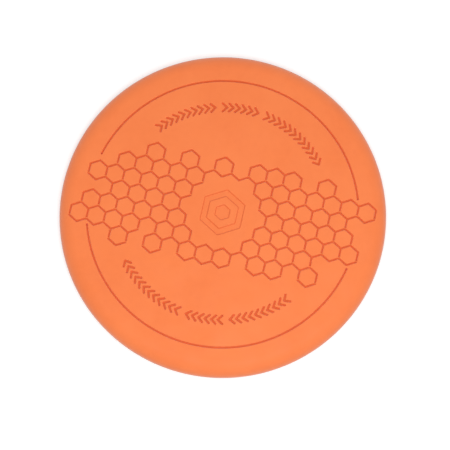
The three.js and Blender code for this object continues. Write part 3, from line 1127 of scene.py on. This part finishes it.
def insert_screws():
    """Countersunk wood screws: a rounded rim, a cross recess, and a thread that dies out at the head."""
    cone_end = SCREW_FACE + SCREW_HEAD_EDGE + SCREW_HEAD_RADIUS - SCREW_SHANK_RADIUS

    def threaded(radius, angles, height):
        if height < cone_end + THREAD_MARGIN:
            return np.full(len(angles), float(radius))
        taper = min(1.0, (SCREW_TOP - height) / SCREW_TIP)
        start = smooth_step((height - cone_end) / SCREW_PITCH)
        core = SCREW_SHANK_RADIUS + (SCREW_CORE_RADIUS - SCREW_SHANK_RADIUS) * start
        ridge = np.clip(1 - thread_phase(angles, height, SCREW_PITCH) / SCREW_RIDGE_HALF, 0, 1)
        return (core + (SCREW_SHANK_RADIUS - core) * ridge) * taper

    head = filleted([
        (0, SCREW_FACE, 0),
        (SCREW_HEAD_RADIUS / 2, SCREW_FACE, 0),
        (SCREW_HEAD_RADIUS, SCREW_FACE, SCREW_FACE_ROUNDING),
        (SCREW_HEAD_RADIUS, SCREW_FACE + SCREW_HEAD_EDGE, SCREW_EDGE_ROUNDING),
        (SCREW_SHANK_RADIUS, cone_end, 0),
    ])
    rings = round((SCREW_TOP - cone_end) / SCREW_PITCH * THREAD_RINGS_PER_TURN)
    heights = np.linspace(cone_end, SCREW_TOP, rings + 1)[1:-1]
    shank = [(SCREW_SHANK_RADIUS, height) for height in heights] + [(0, SCREW_TOP)]
    body = make_mesh("screw", *lathe(head + shank, SCREW_SEGMENTS, shape=threaded))
    mesh = cut(body, [recess_slot(0), recess_slot(90)])
    smooth_by_angle(mesh)
    material = screw_material()
    for node, placed in zip(SCREW_NODES, at_screws(mesh)):
        make_piece(node + "_threaded", placed, material, node)


rubber_cap()
foam_disc()
core_board()
base_mat()
stand_insert()
insert_screws()


# ---------------------------------------------------------------- stage, light and camera

# Soft studio light, in metres and watts: a dome that is brighter at the horizon and to the right, and a
# broad lamp over the player's side. A lamp of the same size under the floor lights the pad's underside.
DOME_ZENITH = 0.56
DOME_HORIZON = 1.03
DOME_LEAN = 0.07
LAMP_PLACE = (0.06, -0.32, 0.9)
LAMP_SIZE = 0.5
LAMP_POWER = 4.15
UNDER_LAMP_PLACE = (-0.4, -0.5, -0.8)
UNDER_LAMP_POWER = 5

# The floor, in metres: its shade for light that bounces off it, its shade where the camera sees it,
# and its glow there.
FLOOR_SIZE = 40
FLOOR_BOUNCE = 0.55
FLOOR_SEEN = 0.72
FLOOR_GLOW = 0.42


def floor():
    """A pale table that also glows where the camera sees it. It vanishes for a camera under it."""
    bpy.ops.mesh.primitive_plane_add(size=FLOOR_SIZE)
    plane = bpy.context.object
    plane.name = "studio_floor"
    m = NodeMaterial("studio_floor", Emission_Color=(1, 1, 1, 1))
    shade = m.remap(m.is_seen(), (0, 1), (FLOOR_BOUNCE, FLOOR_SEEN))
    glow = m.remap(m.is_seen(), (0, 1), (0, FLOOR_GLOW))
    lens_place = m.add(
        "ShaderNodeVectorTransform", {"Vector": (0, 0, 0)},
        vector_type="POINT", convert_from="CAMERA", convert_to="WORLD",
    ).outputs[0]
    above = m.math("GREATER_THAN", m.axis(lens_place, "Z"), 0)
    colour = m.add("ShaderNodeCombineColor", {"Red": shade, "Green": shade, "Blue": shade}).outputs[0]
    m.finish(Base_Color=colour, Roughness=0.9, Emission_Strength=glow, Alpha=above)
    plane.data.materials.append(m.material)


def lamp(name, place, power):
    """A broad square lamp, in metres and watts, that shines on the pad and isn't seen itself."""
    light = bpy.data.lights.new(name, "AREA")
    light.size = LAMP_SIZE
    light.energy = power
    source = bpy.data.objects.new(name, light)
    source.location = place
    source.rotation_euler = (-Vector(place)).to_track_quat("-Z", "Y").to_euler()
    source.visible_camera = False
    bpy.context.scene.collection.objects.link(source)


def dome():
    """White surroundings, brighter at the horizon than overhead, and a little brighter to the right."""
    world = bpy.data.worlds.new("studio")
    nodes = NodeTree(world)
    direction = nodes.add("ShaderNodeTexCoord").outputs["Generated"]
    rise = nodes.remap(nodes.axis(direction, "Z"), (0, 1), (DOME_HORIZON, DOME_ZENITH))
    lit = nodes.math("MULTIPLY_ADD", nodes.axis(direction, "X"), DOME_LEAN, rise)
    strength = nodes.add("ShaderNodeMix", {0: nodes.is_seen(), 2: lit, 3: 1.0}).outputs[0]
    nodes.set(nodes.tree.nodes["Background"], {"Color": (1, 1, 1, 1), "Strength": strength})
    bpy.context.scene.world = world


# The camera leans from straight above towards the player's side, and a little to the right.
# The lens and the sensor are in millimetres, and the shift is a share of the sensor's width.
VIEW_TILT = 11.386
VIEW_TURN = 4.03
VIEW_DISTANCE = 11.07 * PAD_RADIUS
LENS = 145.6
SENSOR_WIDTH = 36
LENS_SHIFT = (0.0057, -0.0283)


def camera():
    tilt, turn = math.radians(VIEW_TILT), math.radians(VIEW_TURN)
    across = Vector((math.cos(turn), math.sin(turn), 0))
    up = Vector((-math.sin(turn) * math.cos(tilt), math.cos(turn) * math.cos(tilt), math.sin(tilt)))
    back = across.cross(up)
    right_in_frame = math.cos(turn) * across - math.sin(turn) * up
    up_in_frame = math.sin(turn) * across + math.cos(turn) * up
    data = bpy.data.cameras.new("camera")
    data.lens = LENS
    data.sensor_width = SENSOR_WIDTH
    data.shift_x, data.shift_y = LENS_SHIFT
    viewer = bpy.data.objects.new("camera", data)
    centre = Vector((0, 0, PAD_TOP)) * MM
    rotation = Matrix((right_in_frame, up_in_frame, back)).transposed().to_4x4()
    viewer.matrix_world = Matrix.Translation(centre + back * VIEW_DISTANCE * MM) @ rotation
    bpy.context.scene.collection.objects.link(viewer)
    bpy.context.scene.camera = viewer


bpy.context.scene.view_settings.view_transform = "Standard"
floor()
dome()
lamp("key_lamp", LAMP_PLACE, LAMP_POWER)
lamp("under_lamp", UNDER_LAMP_PLACE, UNDER_LAMP_POWER)
camera()
